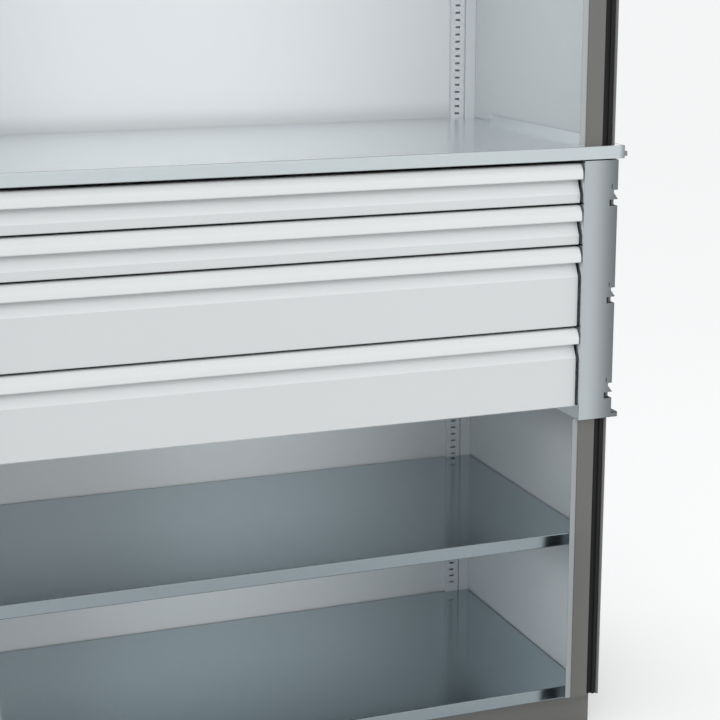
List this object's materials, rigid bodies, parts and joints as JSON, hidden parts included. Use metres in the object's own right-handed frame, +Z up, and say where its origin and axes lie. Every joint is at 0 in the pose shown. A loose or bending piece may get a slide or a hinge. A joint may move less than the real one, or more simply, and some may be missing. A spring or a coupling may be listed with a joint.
{
  "type": "heavy-duty storage cabinet",
  "caption": "Open-fronted heavy-duty steel storage cabinet with a block of full-extension drawers between an upper compartment and a shelved lower one.",
  "frame": {"origin": "on the floor, at the middle of the overall width and depth", "axes": "+X to the right of someone facing the cabinet, +Y into the cabinet, +Z up"},
  "size_m": [1.232, 0.566, 1.95],
  "materials": {
    "frame_paint": "satin taupe-grey powder coat",
    "wall_paint": "satin light-grey powder coat",
    "back_paint": "satin pale-grey powder coat",
    "trim_paint": "satin mid-grey powder coat",
    "shelf_zinc": "zinc-coated sheet with a blue-grey passivation, semi-gloss",
    "drawer_paint": "satin off-white powder coat",
    "galvanized": "zinc-coated sheet, semi-gloss",
    "seal_rubber": "matte black rubber",
    "runner_steel": "bright zinc-plated steel",
    "cage_steel": "rolled bright steel"
  },
  "bodies": {
    "cabinet": {"back_panel": "back_paint", "ceiling_panel": "wall_paint", "cover_feet": "galvanized", "drawer_1_cabinet_rails": "runner_steel", "drawer_2_cabinet_rails": "runner_steel", "drawer_3_cabinet_rails": "runner_steel", "drawer_4_cabinet_rails": "runner_steel", "floor_panel": "shelf_zinc", "housing_tie": "galvanized", "housing_top": "galvanized", "left_front_cover": "galvanized", "left_front_trim": "trim_paint", "left_housing_side": "galvanized", "left_rear_post": "wall_paint", "left_seal": "seal_rubber", "left_side_liner": "wall_paint", "left_side_shell": "frame_paint", "lower_shelf": "shelf_zinc", "lower_shelf_brackets": "galvanized", "plinth_front": "frame_paint", "plinth_rear": "frame_paint", "plinth_sides": "frame_paint", "right_front_cover": "galvanized", "right_front_trim": "trim_paint", "right_housing_side": "galvanized", "right_rear_post": "wall_paint", "right_seal": "seal_rubber", "right_side_liner": "wall_paint", "right_side_shell": "frame_paint", "roof_cap": "frame_paint"},
    "drawer_1": {"drawer_1_front": "drawer_paint", "drawer_1_grip": "drawer_paint", "drawer_1_tray": "drawer_paint", "drawer_1_tray_rails": "runner_steel"},
    "middle_1": {"drawer_1_middle_rails": "runner_steel"},
    "outer_cage_1": {"drawer_1_outer_cages": "cage_steel"},
    "inner_cage_1": {"drawer_1_inner_cages": "cage_steel"},
    "drawer_2": {"drawer_2_front": "drawer_paint", "drawer_2_grip": "drawer_paint", "drawer_2_tray": "drawer_paint", "drawer_2_tray_rails": "runner_steel"},
    "middle_2": {"drawer_2_middle_rails": "runner_steel"},
    "outer_cage_2": {"drawer_2_outer_cages": "cage_steel"},
    "inner_cage_2": {"drawer_2_inner_cages": "cage_steel"},
    "drawer_3": {"drawer_3_front": "drawer_paint", "drawer_3_grip": "drawer_paint", "drawer_3_tray": "drawer_paint", "drawer_3_tray_rails": "runner_steel"},
    "middle_3": {"drawer_3_middle_rails": "runner_steel"},
    "outer_cage_3": {"drawer_3_outer_cages": "cage_steel"},
    "inner_cage_3": {"drawer_3_inner_cages": "cage_steel"},
    "drawer_4": {"drawer_4_front": "drawer_paint", "drawer_4_grip": "drawer_paint", "drawer_4_tray": "drawer_paint", "drawer_4_tray_rails": "runner_steel"},
    "middle_4": {"drawer_4_middle_rails": "runner_steel"},
    "outer_cage_4": {"drawer_4_outer_cages": "cage_steel"},
    "inner_cage_4": {"drawer_4_inner_cages": "cage_steel"}
  },
  "joints": [
    {"name": "drawer_1_slide", "type": "slide", "parent": "cabinet", "child": "drawer_1", "axis": [0, -1, 0], "range_m": [0, 0.48]},
    {"name": "middle_1_slide", "type": "slide", "parent": "cabinet", "child": "middle_1", "axis": [0, -1, 0], "range_m": [0, 0.24]},
    {"name": "outer_cage_1_slide", "type": "slide", "parent": "cabinet", "child": "outer_cage_1", "axis": [0, -1, 0], "range_m": [0, 0.12]},
    {"name": "inner_cage_1_slide", "type": "slide", "parent": "cabinet", "child": "inner_cage_1", "axis": [0, -1, 0], "range_m": [0, 0.36]},
    {"name": "drawer_2_slide", "type": "slide", "parent": "cabinet", "child": "drawer_2", "axis": [0, -1, 0], "range_m": [0, 0.48]},
    {"name": "middle_2_slide", "type": "slide", "parent": "cabinet", "child": "middle_2", "axis": [0, -1, 0], "range_m": [0, 0.24]},
    {"name": "outer_cage_2_slide", "type": "slide", "parent": "cabinet", "child": "outer_cage_2", "axis": [0, -1, 0], "range_m": [0, 0.12]},
    {"name": "inner_cage_2_slide", "type": "slide", "parent": "cabinet", "child": "inner_cage_2", "axis": [0, -1, 0], "range_m": [0, 0.36]},
    {"name": "drawer_3_slide", "type": "slide", "parent": "cabinet", "child": "drawer_3", "axis": [0, -1, 0], "range_m": [0, 0.48]},
    {"name": "middle_3_slide", "type": "slide", "parent": "cabinet", "child": "middle_3", "axis": [0, -1, 0], "range_m": [0, 0.24]},
    {"name": "outer_cage_3_slide", "type": "slide", "parent": "cabinet", "child": "outer_cage_3", "axis": [0, -1, 0], "range_m": [0, 0.12]},
    {"name": "inner_cage_3_slide", "type": "slide", "parent": "cabinet", "child": "inner_cage_3", "axis": [0, -1, 0], "range_m": [0, 0.36]},
    {"name": "drawer_4_slide", "type": "slide", "parent": "cabinet", "child": "drawer_4", "axis": [0, -1, 0], "range_m": [0, 0.48]},
    {"name": "middle_4_slide", "type": "slide", "parent": "cabinet", "child": "middle_4", "axis": [0, -1, 0], "range_m": [0, 0.24]},
    {"name": "outer_cage_4_slide", "type": "slide", "parent": "cabinet", "child": "outer_cage_4", "axis": [0, -1, 0], "range_m": [0, 0.12]},
    {"name": "inner_cage_4_slide", "type": "slide", "parent": "cabinet", "child": "inner_cage_4", "axis": [0, -1, 0], "range_m": [0, 0.36]}
  ],
  "couplings": [
    {"joint": "middle_1_slide", "follows": "drawer_1_slide", "ratio": 0.5},
    {"joint": "outer_cage_1_slide", "follows": "drawer_1_slide", "ratio": 0.25},
    {"joint": "inner_cage_1_slide", "follows": "drawer_1_slide", "ratio": 0.75},
    {"joint": "middle_2_slide", "follows": "drawer_2_slide", "ratio": 0.5},
    {"joint": "outer_cage_2_slide", "follows": "drawer_2_slide", "ratio": 0.25},
    {"joint": "inner_cage_2_slide", "follows": "drawer_2_slide", "ratio": 0.75},
    {"joint": "middle_3_slide", "follows": "drawer_3_slide", "ratio": 0.5},
    {"joint": "outer_cage_3_slide", "follows": "drawer_3_slide", "ratio": 0.25},
    {"joint": "inner_cage_3_slide", "follows": "drawer_3_slide", "ratio": 0.75},
    {"joint": "middle_4_slide", "follows": "drawer_4_slide", "ratio": 0.5},
    {"joint": "outer_cage_4_slide", "follows": "drawer_4_slide", "ratio": 0.25},
    {"joint": "inner_cage_4_slide", "follows": "drawer_4_slide", "ratio": 0.75}
  ]
}
